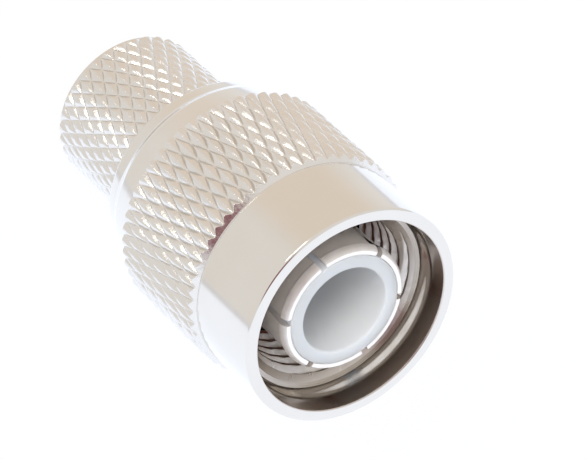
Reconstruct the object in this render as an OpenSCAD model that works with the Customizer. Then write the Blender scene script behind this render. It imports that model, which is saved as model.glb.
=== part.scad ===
// Threaded coaxial cable plug: a coupling nut that turns on a crimp body, a slotted
// outer contact round a plastic insulator, a sealing gasket and a retaining ring.
// The axis is Z, the cable enters at Z = 0 and the mating mouth faces +Z.

/* [Crimp stem] */
// How far the stem's knurl lies inside the journal
stem_step = 0.22; // [0.1:0.02:0.4]
// Length of the knurled stem
stem_knurl_len = 9.24; // [6:0.04:12]
// Length of the plain land behind the knurl
stem_land = 0.3; // [0.2:0.05:1]
// Wall of the stem, from the bore for the cable to the knurl's crests
stem_wall = 1.18; // [0.9:0.02:1.4]
// Diamonds round the stem
stem_teeth = 32; // [20:1:48]
// Height of the stem's diamonds
stem_depth = 0.14; // [0.06:0.02:0.24]
// Share of each stem diamond that stays flat on top
stem_flat = 0.62; // [0.2:0.02:0.8]
// Helix angle of the stem's knurl from the axis
stem_helix = 30; // [20:1:45]

/* [Body journal] */
// Wall of the journal that the nut turns on, round the contact's seat
journal_wall = 0.7; // [0.5:0.02:0.9]
// Length of the journal, from the knurl to the contact's seat
journal_len = 6.26; // [5.6:0.02:8]
// Depth of the seat bored for the contact's spigot
seat_depth = 3.3; // [2.6:0.05:3.4]

/* [Coupling nut] */
// Length of the nut
nut_len = 16.5; // [15.6:0.05:18]
// Diameter of the smooth band at the mouth
band_d = 14.2; // [13.8:0.05:15]
// Length of the smooth band
band_len = 5.35; // [4:0.05:6]
// Height of the knurl's crests over its grooves
nut_depth = 0.28; // [0.2:0.02:0.45]
// Height of the knurl's grooves over the smooth band
groove_rise = 0.12; // [0.02:0.01:0.2]
// How far the bevel that ends the knurl is turned under the band
bevel_foot = 0.04; // [0.02:0.01:0.1]
// Length of the knurled zone
nut_knurl_len = 7.74; // [5:0.05:8]
// Diamonds round the nut
nut_teeth = 54; // [36:1:60]
// Share of each nut diamond that stays flat on top
nut_flat = 0.16; // [0.1:0.02:0.6]
// Helix angle of the nut's knurl from the axis
nut_helix = 18.5; // [15:0.5:40]
// Diameter of the rear face
rear_face_d = 12.76; // [12:0.02:13]
// Diameter at the end of the heel, the smooth ring behind the shoulder
heel_d = 13.16; // [12.8:0.02:13.4]
// Length of the heel
heel_len = 1.05; // [0.6:0.05:1.3]
// Diameter of the shoulder
shoulder_d = 13.74; // [13.5:0.02:14.1]
// Length of the step from the heel up to the shoulder
step_len = 0.5; // [0.4:0.05:0.8]
// Diameter where the shoulder meets the knurl
run_out_d = 14.68; // [14.4:0.02:14.8]
// Radius that rounds the foot and the top of the step
step_round = 0.18; // [0.05:0.01:0.25]
// Radius that rounds the rim
rim_round = 0.25; // [0.1:0.05:0.4]

/* [Mouth and thread] */
// Diameter of the mouth
mouth_d = 12.66; // [12.4:0.02:12.8]
// Depth of the straight part of the mouth
mouth_depth = 1.1; // [0.6:0.05:1.6]
// Diameter at the foot of the lead-in cone
lead_d = 12; // [11.8:0.05:12.2]
// Width of the flat ledge between the cone and the thread's chamfer
ledge_w = 0.22; // [0.05:0.01:0.3]
// Length of the lead-in cone
lead_len = 1.15; // [0.6:0.05:1.6]
// Minor diameter of the coupling thread
thread_minor_d = 10.3; // [10.2:0.02:10.6]
// Length of the chamfer that starts the thread
thread_start = 0.65; // [0.4:0.05:1]
// Radial room that the relief behind the thread leaves round the gasket
relief_room = 0.35; // [0.2:0.05:0.5]

/* [Outer contact] */
// Length of the contact in front of the body
contact_len = 8.48; // [7.6:0.02:8.9]
// Length of the spigot pressed into the body
spigot_len = 3.1; // [2.4:0.05:3.2]
// How far the contact's flange lies inside the journal
flange_step = 0.1; // [0.05:0.01:0.2]
// Thickness of the contact's flange
flange_t = 0.8; // [0.5:0.05:1.2]
// Wall of the spigot round the insulator's collar
spigot_wall = 0.4; // [0.3:0.02:0.6]
// Step from the fingers out to the contact's root, under the gasket
root_step = 0.37; // [0.2:0.01:0.45]
// Length of the contact's root
root_len = 1.2; // [1:0.05:1.6]
// Wall of the spring fingers
finger_wall = 0.33; // [0.25:0.01:0.45]
// Height of the bead at the finger tips
tip_rise = 0.14; // [0.05:0.01:0.2]
// Length of the bead at the finger tips
tip_len = 0.6; // [0.4:0.05:1]
// Number of slots between the fingers
slots = 6; // [4:1:8]
// Width of a slot
slot_w = 0.5; // [0.3:0.05:0.7]
// Length of a slot from the tips
slot_len = 5.8; // [3.5:0.05:5.9]

/* [Insulator] */
// Outer diameter of the insulator's front tube
tube_d = 7.26; // [6.9:0.02:7.4]
// Diameter of the socket in the front tube
socket_d = 5.6; // [5:0.05:6]
// Depth of the socket
socket_depth = 6.5; // [5:0.05:8]
// How far the tube stands past the contact's tips
tube_proud = 0.05; // [0:0.01:0.3]
// Height of the rear collar over the tube
collar_step = 0.33; // [0.2:0.01:0.45]
// Length of the rear collar
collar_len = 1.9; // [1.2:0.05:2.1]
// Diameter of the hole for the centre contact
pin_hole_d = 2.1; // [1.6:0.05:2.6]
// Diameter of the recess for the centre contact's shoulder
pin_recess_d = 3.2; // [2.8:0.05:3.6]
// Depth of the recess for the centre contact's shoulder
pin_recess_depth = 1; // [0.4:0.05:1.5]

/* [Gasket and ring] */
// Radial width of the gasket
gasket_w = 0.98; // [0.8:0.02:1.1]
// Thickness of the gasket
gasket_t = 0.8; // [0.6:0.05:0.85]
// Radial width of the retaining ring
ring_w = 0.6; // [0.5:0.02:0.66]
// Thickness of the retaining ring
ring_t = 0.7; // [0.5:0.05:0.8]
// Distance from the knurl to the ring's groove
ring_from_knurl = 1.8; // [1.4:0.05:2]
// Distance from the nut's rear face to its ring groove
ring_from_rear = 2.71; // [2.4:0.01:3]
// Gap where the retaining ring is split
ring_gap = 1.4; // [0.8:0.1:3]
// How far the ring stands out of the body's groove
ring_bite = 0.35; // [0.25:0.01:0.4]

/* [Clearances] */
// Radial running clearance of the nut on its journal
run_clear = 0.04; // [0.02:0.01:0.08]
// Radial clearance of seated pieces
seat_clear = 0.02; // [0.01:0.01:0.04]
// Axial play of the ring in each groove
ring_play = 0.15; // [0.1:0.01:0.3]
// Radial room that a groove leaves behind the ring
ring_room = 0.15; // [0.1:0.01:0.3]
// Room between the gasket and the foot of the thread
gasket_room = 0.45; // [0.3:0.05:0.8]

/* [Hidden] */
$fn = 96;
// Extra length that carries a cut past a face
over = 1;
// Width of a broken edge
edge = 0.12;
// How far the plain core stays inside a knurl's grooves
core_gap = 0.03;
// Steps along a rounded edge
arc_steps = 6;
// Diameters from the insulator outwards: each piece wraps the one inside it
finger_d = tube_d + 2 * (seat_clear + finger_wall);
tip_d = finger_d + 2 * tip_rise;
root_d = finger_d + 2 * root_step;
collar_d = tube_d + 2 * collar_step;
seat_d = collar_d + 2 * (seat_clear + spigot_wall + seat_clear);
journal_d = seat_d + 2 * journal_wall;
flange_d = journal_d - 2 * flange_step;
stem_d = journal_d - 2 * stem_step;
cable_bore_d = stem_d - 2 * stem_wall;
gasket_d = root_d + 2 * (seat_clear + gasket_w);
relief_d = gasket_d + 2 * relief_room;
// Step height of the knurl's rows: half a diamond
stem_row = PI * stem_d / stem_teeth / 2 / tan(stem_helix);
nut_crest_d = band_d + 2 * (groove_rise + nut_depth);
nut_row = PI * nut_crest_d / nut_teeth / 2 / tan(nut_helix);
stem_rows = max(2, round(stem_knurl_len / stem_row));
nut_rows = max(2, round(nut_knurl_len / nut_row));
// Stations of the body along the axis
knurl_end = stem_land + stem_knurl_len;
seat_z = knurl_end + journal_len;
seat_floor = seat_z - seat_depth;
ring_z = knurl_end + ring_from_knurl;
// Stations of the nut
nut_z = ring_z - ring_play / 2 - ring_from_rear;
mouth_z = nut_z + nut_len;
band_z = mouth_z - band_len;
nut_knurl_z = band_z - nut_knurl_len;
heel_z = nut_z + heel_len;
shoulder_z = heel_z + step_len;
lead_z = mouth_z - mouth_depth - lead_len;
thread_top = lead_z - thread_start;
nut_bore_d = journal_d + 2 * run_clear;
// Stations of the contact and the insulator
tip_z = seat_z + contact_len;
flange_z = seat_z + flange_t;
spigot_z = seat_z - spigot_len;
gasket_z = flange_z + gasket_t;
thread_foot = gasket_z + gasket_room;
relief_z = seat_z + flange_t / 2;
collar_z = seat_floor + collar_len;
tube_z = tip_z + tube_proud;
// The ring's section: it stands out of the body's groove by its bite
ring_d = journal_d + 2 * ring_bite;
ring_bore_d = ring_d - 2 * ring_w;
ring_groove_d = 2 * (journal_d / 2 - ring_w) - 2 * ring_room;

// Points along an arc round [x, y], from angle a0 to a1
function arc(x, y, r, a0, a1) =
    [for (i = [0:arc_steps])
        let (a = a0 + (a1 - a0) * i / arc_steps)
        [x + r * cos(a), y + r * sin(a)]];

// Rounding of the corner at b between the lines from a and to c, cut back by t
function rounded(a, b, c, t) =
    let (p = b + (a - b) * t / norm(a - b), q = b + (c - b) * t / norm(c - b))
    [for (i = [0:arc_steps])
        let (s = i / arc_steps)
        (1 - s) * (1 - s) * p + 2 * s * (1 - s) * b + s * s * q];

function on_circle(r, a, z) = [r * cos(a), r * sin(a), z];

// One diamond's points: four at the corners of its flat top, turned round the axis
function crest_points(r, a, z, da, dz) =
    [on_circle(r, a - da, z), on_circle(r, a, z - dz),
     on_circle(r, a + da, z), on_circle(r, a, z + dz)];

// A ring with a diamond knurl round it. Its grooves cross at the points halfway
// between the crests, and each crest is a four-sided pyramid with a flat top. Every
// station (row j, step m) is a crest when m + j is even and a crossing when it is odd.
// The grooves run out on the first row, where their radius is r_first. The ring's
// inner wall at r_in is hidden in the plain core that it is joined to.
module knurled(teeth, rows, row_h, r_root, r_crest, flat, r_first, r_in) {
    steps = 2 * teeth;
    half = 360 / steps;
    dz = flat * row_h;
    // Four points for every station, so that an index is 4 * (row * steps + step) + corner
    outer = [for (j = [0:rows]) for (m = [0:steps - 1]) for (k = [0:3])
        let (z = j * row_h, a = m * half)
        (m + j) % 2 == 0
            ? crest_points(r_crest, a, z, flat * half,
                           (k == 1 && j == 0) || (k == 3 && j == rows) ? 0 : dz)[k]
            : on_circle(j == 0 ? r_first : r_root, a, z)];
    inner = [for (z = [0, rows * row_h]) for (m = [0:steps - 1]) on_circle(r_in, m * half, z)];
    function at(j, m, k) = 4 * (j * steps + (m + steps) % steps) + k;
    function in(e, m) = len(outer) + e * steps + m % steps;
    // Flat tops, cut in half on the first and last rows
    tops = [for (j = [0:rows]) for (m = [0:steps - 1]) if ((m + j) % 2 == 0) each [
        if (j > 0) [at(j, m, 0), at(j, m, 2), at(j, m, 1)],
        if (j < rows) [at(j, m, 0), at(j, m, 3), at(j, m, 2)]]];
    // Sloping sides, from the lower and the upper crest down to the groove between them
    sides = [for (j = [0:rows - 1]) for (m = [0:steps - 1])
        let (even = (m + j) % 2 == 0,
             low = even ? [at(j, m, 2), at(j, m, 3)] : [at(j, m + 1, 3), at(j, m + 1, 0)],
             high = even ? [at(j + 1, m + 1, 0), at(j + 1, m + 1, 1)]
                         : [at(j + 1, m, 1), at(j + 1, m, 2)],
             left = even ? at(j + 1, m, 0) : at(j, m, 0),
             right = even ? at(j, m + 1, 0) : at(j + 1, m + 1, 0))
        each even
            ? [[low[1], left, right], [low[0], low[1], right],
               [high[0], right, left], [high[1], right, high[0]]]
            : [[low[0], left, right], [low[1], left, low[0]],
               [high[1], right, left], [high[0], high[1], left]]];
    // End faces run through both ends of each cut crest, from the wall inside
    ends = [for (e = [0, 1]) for (m = [0:steps - 1])
        let (j = e * rows, crest = (m + j) % 2 == 0,
             last = at(j, m, crest ? 2 : 0), next = at(j, m + 1, 0))
        each [for (f = [
            if (crest) [at(j, m, 0), at(j, m, 2), in(e, m)],
            [last, next, in(e, m)],
            [next, in(e, m + 1), in(e, m)]]) e == 0 ? f : [f[2], f[1], f[0]]]];
    wall = [for (m = [0:steps - 1]) each [
        [in(0, m), in(0, m + 1), in(1, m)], [in(0, m + 1), in(1, m + 1), in(1, m)]]];
    polyhedron(concat(outer, inner), concat(tops, sides, ends, wall));
}

module crimp_body() {
    r_root = stem_d / 2 - stem_depth;
    core_r = r_root - core_gap;
    groove_w = ring_t + ring_play;
    color([0.78, 0.75, 0.7]) difference() {
        union() {
            rotate_extrude() polygon([
                [0, 0], [core_r - edge, 0], [core_r, edge], [core_r, knurl_end],
                [journal_d / 2, knurl_end], [journal_d / 2, seat_z - edge],
                [journal_d / 2 - edge, seat_z], [0, seat_z]]);
            // The knurl runs a little way into the journal
            translate([0, 0, stem_land])
                knurled(stem_teeth, stem_rows, (stem_knurl_len + edge) / stem_rows,
                        r_root, stem_d / 2, stem_flat, r_root, (core_r + cable_bore_d / 2) / 2);
        }
        // Cable bore and the wider seat of the contact
        translate([0, 0, -over]) cylinder(h = seat_z + 2 * over, d = cable_bore_d);
        translate([0, 0, seat_floor]) cylinder(h = seat_depth + over, d = seat_d);
        // Broken edge where the cable enters
        rotate_extrude() polygon([
            [cable_bore_d / 2 - edge, -edge], [cable_bore_d / 2 + 2 * edge, -edge],
            [cable_bore_d / 2 - edge, 2 * edge]]);
        // Groove of the retaining ring
        translate([0, 0, ring_z]) rotate_extrude()
            translate([ring_groove_d / 2, 0]) square([over + ring_w, groove_w]);
    }
}

module outer_contact() {
    spigot_r = seat_d / 2 - seat_clear;
    bore_r = tube_d / 2 + seat_clear;
    collar_bore_r = collar_d / 2 + seat_clear;
    root_z = flange_z + root_len;
    bead_z = tip_z - tip_len;
    color([0.8, 0.77, 0.7]) difference() {
        rotate_extrude() polygon([
            [collar_bore_r, spigot_z], [spigot_r - edge, spigot_z],
            [spigot_r, spigot_z + edge], [spigot_r, seat_z],
            [flange_d / 2, seat_z], [flange_d / 2, flange_z],
            [root_d / 2, flange_z], [root_d / 2, root_z],
            [finger_d / 2, root_z + (root_d - finger_d) / 2], [finger_d / 2, bead_z - edge],
            [tip_d / 2, bead_z], [tip_d / 2, tip_z - edge], [tip_d / 2 - edge, tip_z],
            [bore_r + edge / 2, tip_z], [bore_r, tip_z - edge / 2],
            [bore_r, collar_z], [collar_bore_r, collar_z]]);
        // Slots that part the spring fingers
        for (i = [0:slots - 1])
            rotate(i * 360 / slots)
                translate([0, -slot_w / 2, tip_z - slot_len])
                    cube([tip_d, slot_w, slot_len + over]);
    }
}

module insulator() {
    color([0.94, 0.95, 0.97]) difference() {
        rotate_extrude() polygon([
            [0, seat_floor], [collar_d / 2, seat_floor], [collar_d / 2, collar_z],
            [tube_d / 2, collar_z], [tube_d / 2, tube_z - edge / 2],
            [tube_d / 2 - edge / 2, tube_z], [0, tube_z]]);
        // Socket at the front, hole through the web and recess at the back
        translate([0, 0, tube_z - socket_depth]) cylinder(h = socket_depth + over, d = socket_d);
        translate([0, 0, seat_floor - over]) cylinder(h = tube_z, d = pin_hole_d);
        translate([0, 0, seat_floor - over]) cylinder(h = pin_recess_depth + over, d = pin_recess_d);
    }
}

module gasket() {
    inner_r = root_d / 2 + seat_clear;
    color([0.8, 0.3, 0.15]) rotate_extrude() polygon([
        [inner_r, flange_z], [gasket_d / 2 - edge, flange_z],
        [gasket_d / 2, flange_z + edge], [gasket_d / 2, gasket_z - edge],
        [gasket_d / 2 - edge, gasket_z], [inner_r, gasket_z]]);
}

module retaining_ring() {
    color([0.7, 0.62, 0.45]) difference() {
        translate([0, 0, ring_z]) rotate_extrude()
            translate([ring_bore_d / 2, 0]) square([ring_w, ring_t]);
        // The split that lets it spring
        translate([0, -ring_gap / 2, ring_z - over])
            cube([ring_d, ring_gap, ring_t + 2 * over]);
    }
}

module coupling_nut() {
    groove_r = band_d / 2 + groove_rise;
    bore_r = nut_bore_d / 2;
    minor_r = thread_minor_d / 2;
    rear = [rear_face_d / 2, nut_z];
    heel = [heel_d / 2, heel_z];
    shoulder = [shoulder_d / 2, shoulder_z];
    run_out = [run_out_d / 2 - core_gap, nut_knurl_z];
    color([0.8, 0.78, 0.74]) difference() {
        union() {
            rotate_extrude() polygon(concat(
                [[0, nut_z]],
                rounded([0, nut_z], rear, heel, rim_round),
                rounded(rear, heel, shoulder, step_round),
                rounded(heel, shoulder, run_out, step_round),
                [run_out, [band_d / 2, nut_knurl_z + edge]],
                arc(band_d / 2 - rim_round, mouth_z - rim_round, rim_round, 0, 90),
                [[0, mouth_z]]));
            translate([0, 0, nut_knurl_z])
                knurled(nut_teeth, nut_rows, nut_knurl_len / nut_rows,
                        groove_r, nut_crest_d / 2, nut_flat, run_out_d / 2, (groove_r + relief_d / 2) / 2);
        }
        // Bearing bore, thread relief, thread bore, lead-in cone and mouth
        rotate_extrude() polygon([
            [0, nut_z - over], [bore_r + 2 * edge, nut_z - over], [bore_r + 2 * edge, nut_z],
            [bore_r, nut_z + 2 * edge], [bore_r, relief_z], [relief_d / 2, relief_z],
            [relief_d / 2, thread_foot - (relief_d / 2 - minor_r)],
            [minor_r, thread_foot], [minor_r, thread_top],
            [lead_d / 2 - ledge_w, lead_z], [lead_d / 2, lead_z],
            [mouth_d / 2, lead_z + lead_len],
            [mouth_d / 2, mouth_z - edge], [mouth_d / 2 + edge, mouth_z],
            [mouth_d / 2 + edge, mouth_z + over], [0, mouth_z + over]]);
        // Groove of the retaining ring
        translate([0, 0, ring_z - ring_play / 2]) rotate_extrude()
            square([ring_d / 2 + ring_room, ring_t + ring_play]);
        // Bevel that ends the knurl
        translate([0, 0, band_z]) rotate_extrude() polygon([
            [band_d / 2 - bevel_foot, bevel_foot], [band_d / 2 + over, -over],
            [band_d / 2 + over, bevel_foot]]);
    }
}

crimp_body();
outer_contact();
insulator();
gasket();
retaining_ring();
coupling_nut();
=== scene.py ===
"""Looks of a threaded coaxial cable plug, built over its CAD frame.

The axis is Z, the cable enters at Z = 0 and the mating mouth faces +Z. Lengths are
written in millimetres, unless a comment says metres, and become metres as each mesh
or node is made.
"""

import bpy
import numpy as np
from mathutils import Matrix, Vector


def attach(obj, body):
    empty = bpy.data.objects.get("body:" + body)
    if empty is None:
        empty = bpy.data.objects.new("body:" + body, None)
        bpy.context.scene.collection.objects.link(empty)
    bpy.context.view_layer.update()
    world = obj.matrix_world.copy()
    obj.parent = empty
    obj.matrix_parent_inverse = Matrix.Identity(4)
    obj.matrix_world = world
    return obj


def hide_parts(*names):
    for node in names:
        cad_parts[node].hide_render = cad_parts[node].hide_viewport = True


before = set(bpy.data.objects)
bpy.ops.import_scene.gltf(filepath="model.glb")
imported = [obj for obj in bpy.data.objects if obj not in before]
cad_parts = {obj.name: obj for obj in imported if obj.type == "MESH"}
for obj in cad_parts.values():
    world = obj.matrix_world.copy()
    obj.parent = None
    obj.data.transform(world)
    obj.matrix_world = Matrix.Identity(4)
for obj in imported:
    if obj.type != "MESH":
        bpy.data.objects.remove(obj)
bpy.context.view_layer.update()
scene = bpy.context.scene
MM = 0.001

# ---------------------------------------------------------------- the plug's sizes
# In these names R is a radius, Z a height over the cable's end, T a thickness along the
# axis and W a width
STEM_TOP_R, STEM_GROOVE_R = 4.88, 4.74
STEM_START, STEM_END = 0.30, 9.54
STEM_TEETH, STEM_ROWS = 32, 11
CABLE_BORE_R = 3.70
JOURNAL_R = 5.10
BODY_END = 15.80
SEAT_R, SEAT_FLOOR = 4.40, 12.50
RING_Z, RING_T, RING_PLAY = 11.34, 0.70, 0.15
BODY_GROOVE_R, NUT_GROOVE_R = 4.35, 5.60

NUT_REAR, HEEL_Z, SHOULDER_Z = 8.555, 9.605, 10.105
NUT_KNURL_Z, BAND_Z, MOUTH_Z = 11.965, 19.705, 25.055
NUT_REAR_R, HEEL_R, SHOULDER_R, RUN_OUT_R, BAND_R = 6.38, 6.58, 6.87, 7.31, 7.10
NUT_TOP_R, NUT_GROOVE_LINE_R, NUT_FIRST_GROOVE_R = 7.50, 7.28, 7.36
NUT_TEETH, NUT_ROWS = 54, 6
NUT_BORE_R, NUT_BORE_CHAMFER = 5.14, 0.24
RELIEF_R, RELIEF_Z = 5.70, 16.20
BEVEL_FOOT = 0.04
MOUTH_R, CONE_TOP_Z, CONE_FOOT_R, CONE_FOOT_Z = 6.33, 23.955, 6.00, 22.805
CONE_EASE, CONE_OVERRUN = 0.14, 0.02
THREAD_MINOR_R, THREAD_MAJOR_R, THREAD_PITCH = 5.15, 5.556, 0.9071
THREAD_START_R, THREAD_TOP_Z, THREAD_FOOT_Z = 5.78, 22.155, 17.85
# The shares of half a pitch that half a crest and one flank take
THREAD_CREST, THREAD_FLANK = 0.25, 0.625

SPIGOT_Z, FLANGE_R, FLANGE_Z = 12.70, 5.00, 16.60
ROOT_R, ROOT_Z = 4.35, 17.80
FINGER_R, TIP_R, TIP_Z, CONTACT_BORE_R = 3.98, 4.12, 24.28, 3.65
SLOTS, SLOT_W, SLOT_FLOOR_Z = 6, 0.42, 18.48
COLLAR_BORE_R, COLLAR_R, COLLAR_Z = 3.98, 3.96, 14.40
# The bead at the tips is crowned: an arc from its top, turning by CROWN, down to the face
CROWN, CROWN_R, TIP_ROUND = np.radians(42), 0.70, 0.04

TUBE_R, TUBE_Z, SOCKET_R, SOCKET_FLOOR_Z = 3.63, 24.33, 2.80, 17.83
PIN_HOLE_R, PIN_RECESS_R, PIN_RECESS_Z = 1.05, 1.60, 13.50
GASKET_R, GASKET_BORE_R, GASKET_Z = 5.35, 4.37, 17.40

# One piece may be two meshes that overlap: LAP where one is buried in the other, and
# THIN_LAP where their walls are flush
LAP, THIN_LAP = 0.05, 0.02
# The contact's spigot stands off the wall of its seat by this
SEAT_GAP = 0.02
# Under each knurl lies a plain core, and the knurl's own ring reaches down into it
STEM_CORE_R = STEM_GROOVE_R - 0.03
STEM_RING_R = STEM_CORE_R - 0.4
NUT_CORE_R = NUT_GROOVE_LINE_R - 0.15
NUT_RING_R = NUT_CORE_R - 0.3
# The shell's wall behind the thread's ring, and the foot of that ring
THREAD_BACK_R = 6.20
THREAD_RING_Z = THREAD_FOOT_Z - (RELIEF_R - THREAD_MINOR_R)

# Faces that meet at more than this many degrees keep a sharp edge between them
SHARP_TURNED, SHARP_CUT, SHARP_KNURL = 35, 30, 18


# ---------------------------------------------------------------- meshes from arrays
def store(name, points, faces, smooth_below=None):
    """Keeps an array of points in millimetres and a list of face arrays as one object."""
    mesh = bpy.data.meshes.new(name)
    corners = np.concatenate([f.ravel() for f in faces])
    counts = np.concatenate([np.full(len(f), f.shape[1]) for f in faces])
    mesh.vertices.add(len(points))
    mesh.vertices.foreach_set("co", (points * MM).astype(np.float32).ravel())
    mesh.loops.add(len(corners))
    mesh.loops.foreach_set("vertex_index", corners.astype(np.int32))
    mesh.polygons.add(len(counts))
    mesh.polygons.foreach_set("loop_start", (np.cumsum(counts) - counts).astype(np.int32))
    mesh.polygons.foreach_set("use_smooth", np.ones(len(counts), bool))
    mesh.update(calc_edges=True)
    mesh.validate()
    if smooth_below is not None:
        mesh.set_sharp_from_angle(angle=np.radians(smooth_below))
    piece = bpy.data.objects.new(name, mesh)
    scene.collection.objects.link(piece)
    return piece


def polar(r, t, z):
    """Points (r cos t, r sin t, z), where r, t and z are numbers or arrays."""
    r, t, z = np.broadcast_arrays(r, t, z)
    return np.stack([r * np.cos(t), r * np.sin(t), z], -1)


def round_trip(rows, cols):
    """Four-sided faces of a grid of rows x cols points that closes on itself both ways."""
    i, j = np.meshgrid(np.arange(rows), np.arange(cols), indexing="ij")
    at = lambda a, b: (a % rows) * cols + b % cols
    return np.stack([at(i, j), at(i, j + 1), at(i + 1, j + 1), at(i + 1, j)], -1).reshape(-1, 4)


def turned(corners, steps=4):
    """A closed section of (r, z, cut) rows with each corner rounded.

    A corner b between a and c is cut back by its third number, at p and q, and replaced
    by the curve (1 - s)^2 p + 2 s (1 - s) b + s^2 q. A cut of 0 keeps the corner.
    """
    b = np.array([c[:2] for c in corners], float)
    cut = np.array([c[2] for c in corners], float)[:, None]
    unit = lambda d: d / np.linalg.norm(d, axis=1, keepdims=True)
    p = b + unit(np.roll(b, 1, 0) - b) * cut
    q = b + unit(np.roll(b, -1, 0) - b) * cut
    s = np.linspace(0, 1, steps + 1)[:, None, None]
    curve = ((1 - s) ** 2 * p + 2 * s * (1 - s) * b + s * s * q).transpose(1, 0, 2)
    keep = np.ones(curve.shape[:2], bool)
    keep[cut[:, 0] == 0, 1:] = False
    return curve[keep]


def revolve(name, section, around=256):
    """A closed section (r, z), counter-clockwise, carried round the axis.

    A point is (r cos t, r sin t, z) with t = 2 pi i / around.
    """
    t = 2 * np.pi * np.arange(around)[:, None] / around
    points = polar(section[None, :, 0], t, section[None, :, 1]).reshape(-1, 3)
    return store(name, points, [round_trip(around, len(section))], SHARP_TURNED)


def knurl(name, teeth, rows, z0, z1, groove_r, top_r, r_in, fine, seed, worn, soft, bulge,
          flat=0.0, first_groove_r=None, span=None, end_r=None):
    """A closed ring whose outer wall carries a diamond knurl.

    With x the angle and y the height in half pitches, a groove lies where x + y or
    x - y is odd. The distances to the two nearest grooves are a = |(x + y) mod 2 - 1|
    and b = |(x - y) mod 2 - 1|, and their smooth least is
    (a + b - sqrt((a - b)^2 + soft^2)) / 2. That over 1 - flat, kept within 0 and 1, is
    s. The radius goes from groove_r to top_r as 1 - (1 - s)^k, so a k over 1 makes
    pillows of the diamonds. Over each diamond k goes from bulge[0] at its rear corner to
    bulge[1] at its front corner, as a wheel fed forwards leaves the rear walls steeper.

    Each diamond's top is up to worn higher or lower than top_r, as on a rolled knurl.
    The first row's grooves rise towards the rear, to first_groove_r. fine is the number
    of points in half a pitch, and span picks the half pitches that this ring covers. A
    bevel of 45 degrees ends the knurl at z1, where its radius is end_r.
    """
    low_y, high_y = span or (0, rows)
    cols, levels = 2 * teeth * fine, int(round((high_y - low_y) * fine))
    x = np.arange(cols)[:, None] / fine
    y = low_y + np.arange(levels + 1)[None, :] / fine
    a = np.abs((x + y) % 2 - 1)
    b = np.abs((x - y) % 2 - 1)
    least = (a + b - np.sqrt((a - b) ** 2 + soft ** 2)) / 2
    # -1 at a diamond's rear corner and 1 at its front corner
    ahead = ((x + y + 1) % 2 - (x - y + 1) % 2) / 2
    k = bulge[0] + (bulge[1] - bulge[0]) * (1 + ahead) / 2
    height = 1 - (1 - np.clip(least / (1 - flat), 0, 1)) ** k
    # Each diamond has a number of its own, found by the bands between grooves that it is in
    rng = np.random.default_rng(seed)
    own = rng.uniform(-1, 1, (teeth + 1, 2 * rows + 4))
    rising = np.floor((x + y + 1) / 2).astype(int)
    falling = np.floor((x - y + 1) / 2).astype(int)
    column, row = (rising + falling) // 2 % teeth, (rising - falling) % own.shape[1]
    top = top_r + worn * own[column, row]
    low = np.full_like(y, groove_r)
    if first_groove_r is not None:
        low = groove_r + (first_groove_r - groove_r) * np.clip(1 - y, 0, 1)
    r = low + (top - low) * height
    t = np.pi * x / teeth
    z = z0 + (z1 - z0) * y / rows
    if end_r is not None:
        r = np.minimum(r, end_r + (z1 - z))
    inner = polar(r_in, t, np.array([[z[0, -1], z[0, 0]]]))
    points = np.concatenate([polar(r, t, z), inner], 1)
    n = levels + 3
    at = lambda i, j: (i % cols) * n + j % n
    i, j = np.meshgrid(np.arange(cols), np.arange(levels), indexing="ij")
    i, j = i.ravel(), j.ravel()
    even = ((i // fine + (j + int(low_y * fine)) // fine) % 2 == 0)[:, None]
    p, q, u, v = at(i, j), at(i + 1, j), at(i + 1, j + 1), at(i, j + 1)
    # A cell is cut along the lines of equal height, so grooves stay straight
    one = np.where(even, np.stack([p, q, v], -1), np.stack([p, q, u], -1))
    two = np.where(even, np.stack([q, u, v], -1), np.stack([p, u, v], -1))
    i = np.arange(cols)
    ends = [np.stack([at(i, k), at(i + 1, k), at(i + 1, k + 1), at(i, k + 1)], -1)
            for k in range(levels, n)]
    return store(name, points.reshape(-1, 3), [one, two, *ends], SHARP_KNURL)


def threaded_ring(name, r_back, around=256, per_mm=36):
    """The coupling thread: a closed ring whose inner wall is cut by a helix.

    The phase at (t, z) is the fraction of z / pitch - t / 2 pi, which makes it
    right-handed. |2 phase - 1| is 0 in the middle of the crest and 1 in the middle of
    the root. As it goes from THREAD_CREST up by THREAD_FLANK, the radius goes from minor
    to major, and it is never less than the chamfers at its two ends.
    """
    levels = int((CONE_FOOT_Z - THREAD_RING_Z) * per_mm)
    z = np.linspace(THREAD_RING_Z, CONE_FOOT_Z, levels + 1)[None, :]
    t = 2 * np.pi * np.arange(around)[:, None] / around
    phase = (z / THREAD_PITCH - t / (2 * np.pi)) % 1
    share = np.clip((np.abs(2 * phase - 1) - THREAD_CREST) / THREAD_FLANK, 0, 1)
    r = THREAD_MINOR_R + (THREAD_MAJOR_R - THREAD_MINOR_R) * share
    rise, run = THREAD_START_R - THREAD_MINOR_R, CONE_FOOT_Z - THREAD_TOP_Z
    start = THREAD_MINOR_R + (z - THREAD_TOP_Z) * rise / run
    foot = THREAD_MINOR_R + (THREAD_FOOT_Z - z)
    r = np.maximum(r, np.maximum(start, foot))
    # Counter-clockwise in (r, z): up the back, then down the threaded wall
    back = polar(r_back, t, np.array([[THREAD_RING_Z, CONE_FOOT_Z]]))
    points = np.concatenate([back, polar(r, t, z)[:, ::-1]], 1)
    return store(name, points.reshape(-1, 3), [round_trip(around, levels + 3)], SHARP_CUT)


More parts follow.
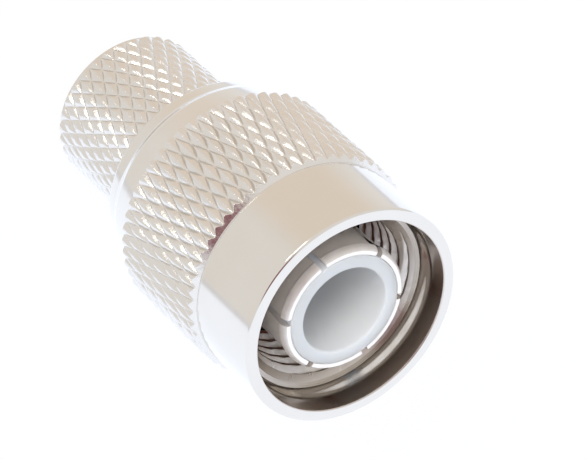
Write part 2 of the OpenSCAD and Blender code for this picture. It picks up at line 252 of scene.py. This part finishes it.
def fingers(name, outer, inner, around=28):
    """Spring fingers: a closed wall between two slots, for each slot.

    outer and inner are chains of (r, z) of equal length, from the slot's floor to the
    tip. At radius r a finger reaches to pi / SLOTS - asin(w / 2r) each way from its
    middle, so both sides of a slot are flat and parallel.
    """
    n = len(outer)
    loop = np.concatenate([outer, inner[::-1]])
    s = np.linspace(-1, 1, around + 1)[:, None]
    reach = np.pi / SLOTS - np.arcsin(SLOT_W / 2 / loop[:, 0])[None, :]
    points, faces = [], []
    i, j = np.meshgrid(np.arange(around), np.arange(2 * n), indexing="ij")
    at = lambda a, b: a * 2 * n + b % (2 * n)
    skin = np.stack([at(i, j), at(i, j + 1), at(i + 1, j + 1), at(i + 1, j)], -1).reshape(-1, 4)
    k = np.arange(n - 1)
    near = np.stack([k, 2 * n - 1 - k, 2 * n - 2 - k, k + 1], -1)
    far = near[:, ::-1] + around * 2 * n
    for f in range(SLOTS):
        t = (2 * f + 1) * np.pi / SLOTS + s * reach
        points.append(polar(loop[:, 0], t, loop[:, 1]).reshape(-1, 3))
        faces.append(np.concatenate([skin, near, far]) + f * (around + 1) * 2 * n)
    return store(name, np.concatenate(points), [np.concatenate(faces)], SHARP_CUT)


# ---------------------------------------------------------------- materials
# A mix node's inputs, and its colour output, by number, because their names repeat
FACTOR, NUMBER_A, NUMBER_B, COLOUR_A, COLOUR_B, MIXED_COLOUR = 0, 2, 3, 6, 7, 2
# Noise scales, in features per metre
TINT_SCALE, GLOSS_SCALE, WAVE_SCALE, DENT_SCALE = 260, 2600, 900, 5200
PLASTIC_TINT_SCALE, RUBBER_TINT_SCALE = 700, 1500
# Features per metre along x, y and z, for rings round the axis
METAL_RINGS, PLASTIC_RINGS = (60, 60, 9000), (150, 150, 16000)
# Heights of bumps, in metres
WAVE_HEIGHT, PLASTIC_RING_HEIGHT, RUBBER_HEIGHT = 3.5e-6, 3e-6, 1e-5
# A region's edge fades over this much each way, across the axis and along it
EDGE_ACROSS, EDGE_ALONG = 0.02, 0.08
# Inside this radius and above this height the nut's wall is its mouth, painted darker as shade,
# and inside this radius the insulator's is its socket, painted greyer as shade
MOUTH_SHADE_R, MOUTH_SHADE_Z = 6.40, 23.80
SOCKET_SHADE_R = SOCKET_R + 0.06
# Roughness goes from one to the other of these times the plating's own
GLOSS_LOW, GLOSS_HIGH = 0.75, 1.3


def add(tree, kind, inputs=None, **settings):
    """A new node. Each input is a socket to link, an RGB colour or a plain value."""
    node = tree.nodes.new(kind)
    for key, value in settings.items():
        setattr(node, key, value)
    for key, value in (inputs or {}).items():
        place = node.inputs[key]
        if isinstance(value, bpy.types.NodeSocket):
            tree.links.new(value, place)
        else:
            place.default_value = (*value, 1) if place.type == "RGBA" else value
    return node


def new_material(name, **looks):
    """A material, its node tree, its one shader and its output node.

    looks are the shader's inputs, with _ standing for a space.
    """
    material = bpy.data.materials.new(name)
    material.use_nodes = True
    tree = material.node_tree
    tree.nodes.clear()
    inputs = {key.replace("_", " "): value for key, value in looks.items()}
    shader = add(tree, "ShaderNodeBsdfPrincipled", inputs)
    out = add(tree, "ShaderNodeOutputMaterial", {"Surface": shader.outputs[0]})
    return material, tree, shader, out


def noise(tree, scale, detail, stretch=(1, 1, 1)):
    """Noise over Object coordinates; scale is in features per metre."""
    place = add(tree, "ShaderNodeTexCoord")
    turn = add(tree, "ShaderNodeMapping", {"Vector": place.outputs["Object"], "Scale": stretch})
    texture = add(tree, "ShaderNodeTexNoise",
                  {"Vector": turn.outputs[0], "Scale": scale, "Detail": detail})
    return texture.outputs[0]


def spread(tree, source, low, high, at=(0.3, 0.7)):
    """Maps a source that goes from at[0] to at[1] to low..high, and keeps it within them."""
    return add(tree, "ShaderNodeMapRange", {
        "Value": source, "From Min": at[0], "From Max": at[1], "To Min": low, "To Max": high,
    }).outputs["Result"]


def blend(tree, factor, first, second):
    """A colour from first to second, as factor goes from 0 to 1."""
    return add(tree, "ShaderNodeMix", {FACTOR: factor, COLOUR_A: first, COLOUR_B: second},
               data_type="RGBA").outputs[MIXED_COLOUR]


def combine(tree, operation, first, second):
    """A sum, product or other operation of two numbers."""
    return add(tree, "ShaderNodeMath", {0: first, 1: second}, operation=operation).outputs[0]


def bumped(tree, source, strength, height, under=None):
    """A normal with bumps of a height in metres, over those of another normal."""
    inputs = {"Strength": strength, "Distance": height, "Height": source}
    if under:
        inputs["Normal"] = under
    return add(tree, "ShaderNodeBump", inputs).outputs[0]


def within(tree, radius, foot):
    """1 inside a radius round the axis and above a foot, and 0 elsewhere."""
    place = add(tree, "ShaderNodeTexCoord").outputs["Object"]
    across = add(tree, "ShaderNodeVectorMath", {0: place, 1: (1, 1, 0)}, operation="MULTIPLY")
    length = add(tree, "ShaderNodeVectorMath", {0: across.outputs[0]}, operation="LENGTH")
    near = spread(tree, length.outputs["Value"], 1, 0,
                  ((radius - EDGE_ACROSS) * MM, (radius + EDGE_ACROSS) * MM))
    height = add(tree, "ShaderNodeSeparateXYZ", {0: place})
    above = spread(tree, height.outputs["Z"], 0, 1,
                   ((foot - EDGE_ALONG) * MM, (foot + EDGE_ALONG) * MM))
    return combine(tree, "MULTIPLY", near, above)


def plated(name, colour, tint, rough, turning=0.0, grain=0.0, bore=None):
    """Polished plating: a faint change of tint and of gloss, and soft waves under it.

    turning adds fine rings round the axis, as a lathe leaves, and grain adds the small
    dents of a rolled knurl, each by its height in metres. bore is the radius, the foot,
    the colour and the roughness of a bore, whose colour is a painted shade, darker than
    the outside, and whose finish is duller.
    """
    material, tree, shader, _ = new_material(name, Metallic=1.0)
    skin = blend(tree, spread(tree, noise(tree, TINT_SCALE, 4), 0, 1), colour, tint)
    gloss = spread(tree, noise(tree, GLOSS_SCALE, 3), rough * GLOSS_LOW, rough * GLOSS_HIGH)
    if bore:
        radius, foot, painted_shade_colour, dull = bore
        # Inside the bore the colour is painted shade, darker than the outside, and the finish
        # is duller
        shade_and_dull_mask = within(tree, radius, foot)
        skin = blend(tree, shade_and_dull_mask, skin, painted_shade_colour)
        gloss = add(tree, "ShaderNodeMix",
                    {FACTOR: shade_and_dull_mask, NUMBER_A: gloss, NUMBER_B: dull}).outputs[0]
    normal = bumped(tree, noise(tree, WAVE_SCALE, 2), strength=0.5, height=WAVE_HEIGHT)
    if grain:
        dents = noise(tree, DENT_SCALE, 3)
        normal = bumped(tree, dents, strength=0.7, height=grain, under=normal)
    if turning:
        rings = noise(tree, 1, 2, METAL_RINGS)
        normal = bumped(tree, rings, strength=0.6, height=turning, under=normal)
    tree.links.new(skin, shader.inputs["Base Color"])
    tree.links.new(gloss, shader.inputs["Roughness"])
    tree.links.new(normal, shader.inputs["Normal"])
    return material


def white_plastic_shaded_socket():
    """Turned white fluoropolymer: soft, a little translucent, faintly blue, painted greyer in
    its socket as shade.
    """
    material, tree, shader, _ = new_material(
        "white_insulator", Roughness=0.38, IOR=1.36, Subsurface_Weight=0.8,
        Subsurface_Radius=(0.9, 1.0, 1.15), Subsurface_Scale=0.0014)
    skin = blend(tree, spread(tree, noise(tree, PLASTIC_TINT_SCALE, 4), 0, 1),
                 (0.735, 0.750, 0.772), (0.760, 0.772, 0.790))
    # The socket is painted greyer than the outside, as shade
    skin = blend(tree, within(tree, SOCKET_SHADE_R, 0.0), skin, (0.760, 0.757, 0.752))
    rings = noise(tree, 1, 2, PLASTIC_RINGS)
    normal = bumped(tree, rings, strength=0.4, height=PLASTIC_RING_HEIGHT)
    tree.links.new(skin, shader.inputs["Base Color"])
    tree.links.new(normal, shader.inputs["Normal"])
    return material


def red_rubber():
    """Moulded rubber: dull, with an uneven tint."""
    material, tree, shader, _ = new_material("gasket_rubber")
    cloud = noise(tree, RUBBER_TINT_SCALE, 4)
    skin = blend(tree, spread(tree, cloud, 0, 1), (0.50, 0.10, 0.035), (0.62, 0.15, 0.06))
    tree.links.new(skin, shader.inputs["Base Color"])
    tree.links.new(spread(tree, cloud, 0.5, 0.7), shader.inputs["Roughness"])
    normal = bumped(tree, cloud, strength=0.5, height=RUBBER_HEIGHT)
    tree.links.new(normal, shader.inputs["Normal"])
    return material


NICKEL = plated("nickel_plate", (0.718, 0.684, 0.642), (0.690, 0.652, 0.602), 0.24,
                grain=1.6e-5)
# Inside the nut's mouth this nickel is painted darker, as shade, and its finish is duller
TURNED_NICKEL_SHADED_MOUTH = plated("nickel_plate_turned_shaded_mouth", (0.695, 0.655, 0.602), (0.675, 0.634, 0.576),
                       0.12, turning=8e-7,
                       bore=(MOUTH_SHADE_R, MOUTH_SHADE_Z, (0.56, 0.49, 0.44), 0.18))
# The contact's plating is lighter than the nickel, and painted lighter still for light that
# falls on its side inside the mouth
CONTACT_METAL_PAINTED_LIGHT = plated("contact_plate", (0.93, 0.885, 0.83), (0.91, 0.86, 0.80), 0.60,
                       turning=5e-7)
# The thread's nickel is painted darker, as shade within the nut; its higher roughness is its
# own finish
THREAD_NICKEL_PAINTED_SHADE = plated("nickel_plate_thread_painted_shade", (0.60, 0.55, 0.50), (0.58, 0.53, 0.475), 0.34)
BRONZE = plated("ring_bronze", (0.55, 0.36, 0.18), (0.60, 0.42, 0.22), 0.30)
PLASTIC_SHADED_SOCKET = white_plastic_shaded_socket()
RUBBER = red_rubber()


def dress(piece, body, material, slot, *nodes):
    """Gives a piece its body and its material, and hides the nodes it stands for; slot is not
    used.
    """
    piece.data.materials.append(material)
    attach(piece, body)
    if nodes:
        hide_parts(*nodes)


# ---------------------------------------------------------------- the crimp body
ring_top_z = RING_Z + RING_T + RING_PLAY
body_shell = revolve("body_shell", turned([
    (CABLE_BORE_R, 0.0, 0.10), (STEM_CORE_R, 0.0, 0.10), (STEM_CORE_R, STEM_END, 0),
    (JOURNAL_R, STEM_END, 0.06), (JOURNAL_R, RING_Z, 0.04), (BODY_GROOVE_R, RING_Z, 0),
    (BODY_GROOVE_R, ring_top_z, 0), (JOURNAL_R, ring_top_z, 0.04),
    (JOURNAL_R, BODY_END, 0.10), (SEAT_R, BODY_END, 0.04), (SEAT_R, SEAT_FLOOR, 0),
    (CABLE_BORE_R, SEAT_FLOOR, 0.04)]))
stem_knurl = knurl("stem_knurl", STEM_TEETH, STEM_ROWS, STEM_START, STEM_END + LAP,
                   STEM_GROOVE_R, STEM_TOP_R, STEM_RING_R, fine=8, seed=11, worn=0.006,
                   soft=0.10, bulge=(1.4, 1.4), flat=0.34)
dress(body_shell, "body", TURNED_NICKEL_SHADED_MOUTH, "nickel_plate", "crimp_body")
dress(stem_knurl, "body", NICKEL, "nickel_plate")

# ---------------------------------------------------------------- the coupling nut
# The lead-in cone eases into the walls at its two ends, over CONE_EASE of its height, as
# a form tool leaves it: with e = (h - CONE_EASE) / (1 - 2 CONE_EASE) its radius goes as
# e^2 (3 - 2 e). It runs past its foot by CONE_OVERRUN of its height, over the thread's
# ring.
h = np.linspace(1, -CONE_OVERRUN, 22)
e = np.clip((h - CONE_EASE) / (1 - 2 * CONE_EASE), 0, 1)
cone_r = CONE_FOOT_R + (MOUTH_R - CONE_FOOT_R) * e * e * (3 - 2 * e)
cone_z = CONE_FOOT_Z + (CONE_TOP_Z - CONE_FOOT_Z) * h
nut_ring_low_z, nut_ring_high_z = RING_Z - RING_PLAY / 2, RING_Z + RING_T + RING_PLAY / 2
nut_shell = revolve("nut_shell", turned([
    (NUT_REAR_R, NUT_REAR, 0.20), (HEEL_R, HEEL_Z, 0.20), (SHOULDER_R, SHOULDER_Z, 0.15),
    (RUN_OUT_R, NUT_KNURL_Z, 0), (NUT_CORE_R, NUT_KNURL_Z + LAP, 0),
    (NUT_CORE_R, BAND_Z + BEVEL_FOOT, 0), (BAND_R, BAND_Z + BEVEL_FOOT, 0.03),
    (BAND_R, MOUTH_Z, 0.25), (MOUTH_R, MOUTH_Z, 0.12),
    *zip(cone_r, cone_z, np.zeros(len(h))),
    (THREAD_BACK_R, cone_z[-1], 0), (THREAD_BACK_R, THREAD_RING_Z + THIN_LAP, 0),
    (RELIEF_R, THREAD_RING_Z + THIN_LAP, 0), (RELIEF_R, RELIEF_Z, 0.04),
    (NUT_BORE_R, RELIEF_Z, 0.06), (NUT_BORE_R, nut_ring_high_z, 0.03),
    (NUT_GROOVE_R, nut_ring_high_z, 0), (NUT_GROOVE_R, nut_ring_low_z, 0),
    (NUT_BORE_R, nut_ring_low_z, 0.03), (NUT_BORE_R, NUT_REAR + NUT_BORE_CHAMFER, 0.03),
    (NUT_BORE_R + NUT_BORE_CHAMFER, NUT_REAR, 0.03)], steps=6), around=320)
# The knurl's last half row is a ring of its own, finer, for the bevel that cuts it
bevel_row = NUT_ROWS - 0.5
nut_rows = dict(teeth=NUT_TEETH, rows=NUT_ROWS, z0=NUT_KNURL_Z, z1=BAND_Z,
                groove_r=NUT_GROOVE_LINE_R, top_r=NUT_TOP_R, r_in=NUT_RING_R, seed=7,
                worn=0.016, soft=0.16, bulge=(2.4, 1.4), first_groove_r=NUT_FIRST_GROOVE_R)
nut_knurl = knurl("nut_knurl", **nut_rows, fine=8, span=(0, bevel_row))
nut_thread = threaded_ring("nut_thread", THREAD_BACK_R + LAP)
nut_front = knurl("nut_knurl_front", **nut_rows, fine=32, span=(bevel_row, NUT_ROWS),
                  end_r=BAND_R)
dress(nut_shell, "nut", TURNED_NICKEL_SHADED_MOUTH, "nickel_plate", "coupling_nut")
dress(nut_knurl, "nut", NICKEL, "nickel_plate")
dress(nut_front, "nut", NICKEL, "nickel_plate")
dress(nut_thread, "nut", THREAD_NICKEL_PAINTED_SHADE, "nickel_plate")

# ---------------------------------------------------------------- the outer contact
contact_root = revolve("contact_root", turned([
    (COLLAR_BORE_R, SPIGOT_Z, 0.03), (SEAT_R - SEAT_GAP, SPIGOT_Z, 0.10),
    (SEAT_R - SEAT_GAP, BODY_END, 0), (FLANGE_R, BODY_END, 0.04), (FLANGE_R, FLANGE_Z, 0.06),
    (ROOT_R, FLANGE_Z, 0.05), (ROOT_R, ROOT_Z, 0.08),
    (FINGER_R, ROOT_Z + ROOT_R - FINGER_R, 0.10), (FINGER_R, SLOT_FLOOR_Z + THIN_LAP, 0),
    (CONTACT_BORE_R, SLOT_FLOOR_Z + THIN_LAP, 0), (CONTACT_BORE_R, COLLAR_Z, 0),
    (COLLAR_BORE_R, COLLAR_Z, 0)]))
# On the bead's crown the arc has turned by turn from its top: the radius is
# TIP_R - CROWN_R (1 - cos turn), and the height goes as CROWN_R sin turn
turn = np.linspace(0, CROWN, 10)
crown_r = TIP_R - CROWN_R * (1 - np.cos(turn))
crown_z = TIP_Z - TIP_ROUND - CROWN_R * (np.sin(CROWN) - np.sin(turn))
bead_z = crown_z[0]
# The ramp behind the bead: its radius, and how far under the bead's top
ramp = [(FINGER_R, 0.24), (FINGER_R + 0.02, 0.16), (TIP_R - 0.03, 0.05)]
outer_side = np.array([
    (FINGER_R, SLOT_FLOOR_Z), *[(r, bead_z - under) for r, under in ramp],
    *zip(crown_r, crown_z), (crown_r[-1] - TIP_ROUND, TIP_Z)])
quarter = np.linspace(0, np.pi / 2, 5)
bore_z = np.linspace(SLOT_FLOOR_Z, TIP_Z - TIP_ROUND, len(outer_side) - len(quarter))
inner_side = np.array([
    *[(CONTACT_BORE_R, z) for z in bore_z],
    *zip(CONTACT_BORE_R + TIP_ROUND * (1 - np.cos(quarter)),
         TIP_Z - TIP_ROUND * (1 - np.sin(quarter)))])
contact_fingers = fingers("contact_fingers", outer_side, inner_side)
dress(contact_root, "body", CONTACT_METAL_PAINTED_LIGHT, "contact_plate", "outer_contact")
dress(contact_fingers, "body", CONTACT_METAL_PAINTED_LIGHT, "contact_plate")

# ---------------------------------------------------------------- insulator, gasket, ring
insulator = revolve("insulator_tube", turned([
    (PIN_RECESS_R, SEAT_FLOOR, 0.06), (COLLAR_R, SEAT_FLOOR, 0.08), (COLLAR_R, COLLAR_Z, 0.04),
    (TUBE_R, COLLAR_Z, 0.04), (TUBE_R, TUBE_Z, 0.10), (SOCKET_R, TUBE_Z, 0.14),
    (SOCKET_R, SOCKET_FLOOR_Z, 0.15), (PIN_HOLE_R, SOCKET_FLOOR_Z, 0.06),
    (PIN_HOLE_R, PIN_RECESS_Z, 0.04), (PIN_RECESS_R, PIN_RECESS_Z, 0.06)], steps=6))
gasket = revolve("gasket_ring", turned([
    (GASKET_BORE_R, FLANGE_Z, 0.06), (GASKET_R, FLANGE_Z, 0.16), (GASKET_R, GASKET_Z, 0.16),
    (GASKET_BORE_R, GASKET_Z, 0.06)], steps=6))
dress(insulator, "body", PLASTIC_SHADED_SOCKET, "white_insulator", "insulator")
dress(gasket, "body", RUBBER, "gasket_rubber", "gasket")
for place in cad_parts["retaining_ring"].material_slots:
    place.material = BRONZE

# ---------------------------------------------------------------- camera
# Where the plug is, with x right, y down and z away as the camera sees it: the direction
# from its cable to its mouth, one square to that, its turn about its own axis, and the
# point at MOUTH_STATION on the axis
AXIS = np.array([0.53646638, 0.49977018, -0.6800247])
ACROSS = np.array([0.68163876, -0.73168887, 0.0])
TURN = np.radians(15.73)
MOUTH_CENTRE, MOUTH_STATION = np.array([3.248, 4.873, 300.0]), 24.875
# The lens's focal length and the view's width in one and the same unit
FOCAL_LENGTH, VIEW_WIDTH = 5238.3, 587
SENSOR_WIDTH = 36.0
CLIP_START, CLIP_END = 0.01, 5.0  # metres

x_axis = np.cos(TURN) * ACROSS + np.sin(TURN) * np.cross(AXIS, ACROSS)
to_camera = np.stack([x_axis, np.cross(AXIS, x_axis), AXIS], 1)
origin = MOUTH_CENTRE - MOUTH_STATION * AXIS


def from_view(x, y, z):
    """A direction given as right, down, away in the camera's view, in the plug's frame."""
    d = to_camera.T @ np.array([x, y, z], float)
    return d / np.linalg.norm(d)


camera_data = bpy.data.cameras.new("camera")
camera = bpy.data.objects.new("camera", camera_data)
scene.collection.objects.link(camera)
camera_data.sensor_width = SENSOR_WIDTH
camera_data.lens = FOCAL_LENGTH * SENSOR_WIDTH / VIEW_WIDTH
camera_data.clip_start, camera_data.clip_end = CLIP_START, CLIP_END
right, up, back = from_view(1, 0, 0), from_view(0, -1, 0), from_view(0, 0, -1)
where = -to_camera.T @ origin * MM
camera.matrix_world = Matrix([
    *[[right[k], up[k], back[k], where[k]] for k in range(3)], [0, 0, 0, 1]])
scene.camera = camera

# ---------------------------------------------------------------- floor, world and lamps
# Which way is up in the tent, as the camera sees it
TENT_UP = from_view(-0.261, -0.797, -0.544)
TENT_TONE = (1.00, 0.995, 0.99)
# Each zone: its direction, the dot products where it begins and where it is full, its tone
ZONES = [
    (from_view(-0.16, -0.97, 0.15), 0.72, 0.97, (0.99, 0.90, 0.81)),
    (-TENT_UP, -0.035, -0.015, (0.88, 0.90, 0.98)),
    (-TENT_UP, 0.015, 0.06, (1.26, 1.36, 1.54)),
    (from_view(-0.13, 0.22, -0.97), 0.90, 0.965, (0.28, 0.10, 0.12)),
]
# The plain light that falls on what isn't polished
PLAIN_TONE, PLAIN_STRENGTH = (0.93, 0.985, 1.07), 0.80
WHITE = (1, 1, 1)

FLOOR_Z, FLOOR_HALF, FLOOR_TONE = -0.05, 400.0, (0.85, 0.85, 0.85)
# What looks at the floor sees this share of it as a white light of this strength, and its
# shadow in the rest
FLOOR_GLOW_SHARE, FLOOR_GLOW = 0.93, 1.02

LAMP_DISTANCE = 0.60  # metres
LAMP_AIM_Z = 14.0


def choose(tree, factor, first, second):
    """One shader's output or the other's, as factor goes from 0 to 1."""
    return add(tree, "ShaderNodeMixShader", {0: factor, 1: first, 2: second}).outputs[0]


def studio_world():
    """A white tent with soft warm and cool zones, white itself to the camera.

    Each zone is a smooth step of the dot product of the looking direction with the
    zone's own direction.
    """
    world = bpy.data.worlds.new("studio")
    scene.world = world
    world.use_nodes = True
    tree = world.node_tree
    tree.nodes.clear()
    looking = add(tree, "ShaderNodeTexCoord").outputs["Generated"]
    tone = TENT_TONE
    for direction, begins, full, zone_tone in ZONES:
        dot = add(tree, "ShaderNodeVectorMath", {0: looking, 1: tuple(direction)},
                  operation="DOT_PRODUCT")
        step = add(tree, "ShaderNodeMapRange",
                   {"Value": dot.outputs["Value"], "From Min": begins, "From Max": full},
                   interpolation_type="SMOOTHSTEP")
        tone = blend(tree, step.outputs["Result"], tone, zone_tone)
    tent = add(tree, "ShaderNodeBackground", {"Color": tone, "Strength": 1.0})
    plain = add(tree, "ShaderNodeBackground", {"Color": PLAIN_TONE, "Strength": PLAIN_STRENGTH})
    white = add(tree, "ShaderNodeBackground", {"Color": WHITE, "Strength": 1.0})
    ray = add(tree, "ShaderNodeLightPath").outputs
    lit = choose(tree, ray["Is Glossy Ray"], plain.outputs[0], tent.outputs[0])
    seen = choose(tree, ray["Is Camera Ray"], lit, white.outputs[0])
    add(tree, "ShaderNodeOutputWorld", {"Surface": seen})


def floor():
    """A plain white floor at the plug's foot: it takes a faint shadow."""
    points = np.array([(-FLOOR_HALF, -FLOOR_HALF, FLOOR_Z), (FLOOR_HALF, -FLOOR_HALF, FLOOR_Z),
                       (FLOOR_HALF, FLOOR_HALF, FLOOR_Z), (-FLOOR_HALF, FLOOR_HALF, FLOOR_Z)])
    plane = store("floor", points, [np.array([[0, 1, 2, 3]])])
    material, tree, shader, out = new_material(
        "floor_white", Base_Color=FLOOR_TONE, Roughness=0.9)
    ray = add(tree, "ShaderNodeLightPath").outputs
    seen = combine(tree, "MAXIMUM", ray["Is Camera Ray"], ray["Is Glossy Ray"])
    seen = combine(tree, "MAXIMUM", seen, ray["Is Transmission Ray"])
    share = combine(tree, "MULTIPLY", seen, FLOOR_GLOW_SHARE)
    glow = add(tree, "ShaderNodeEmission", {"Color": WHITE, "Strength": FLOOR_GLOW})
    both = choose(tree, share, shader.outputs[0], glow.outputs[0])
    tree.links.new(both, out.inputs["Surface"])
    plane.data.materials.append(material)
    # Polished metal sees the tent's lower half through the floor
    plane.visible_glossy = False


def soft_lamp(name, direction, size, power, colour):
    """A square soft box along a direction, facing the plug; size in metres."""
    data = bpy.data.lights.new(name, "AREA")
    data.shape = "SQUARE"
    data.size = size
    data.energy = power
    data.color = colour
    lamp = bpy.data.objects.new(name, data)
    scene.collection.objects.link(lamp)
    lamp.location = Vector((0, 0, LAMP_AIM_Z * MM)) + Vector(direction) * LAMP_DISTANCE
    lamp.rotation_mode = "QUATERNION"
    lamp.rotation_quaternion = Vector(direction).to_track_quat("Z", "Y")
    return lamp


studio_world()
floor()
soft_lamp("key", from_view(-0.50, -0.82, -0.75), 0.14, 0.34, (1.0, 0.985, 0.95))
soft_lamp("sparkle", from_view(-0.63, -0.59, -0.50), 0.06, 0.09, (1.0, 0.985, 0.96))
fill = soft_lamp("fill", from_view(-0.15, -0.22, -0.96), 0.25, 1.8, (1.0, 0.99, 0.96))
fill.visible_glossy = False

scene.view_settings.view_transform = "Standard"
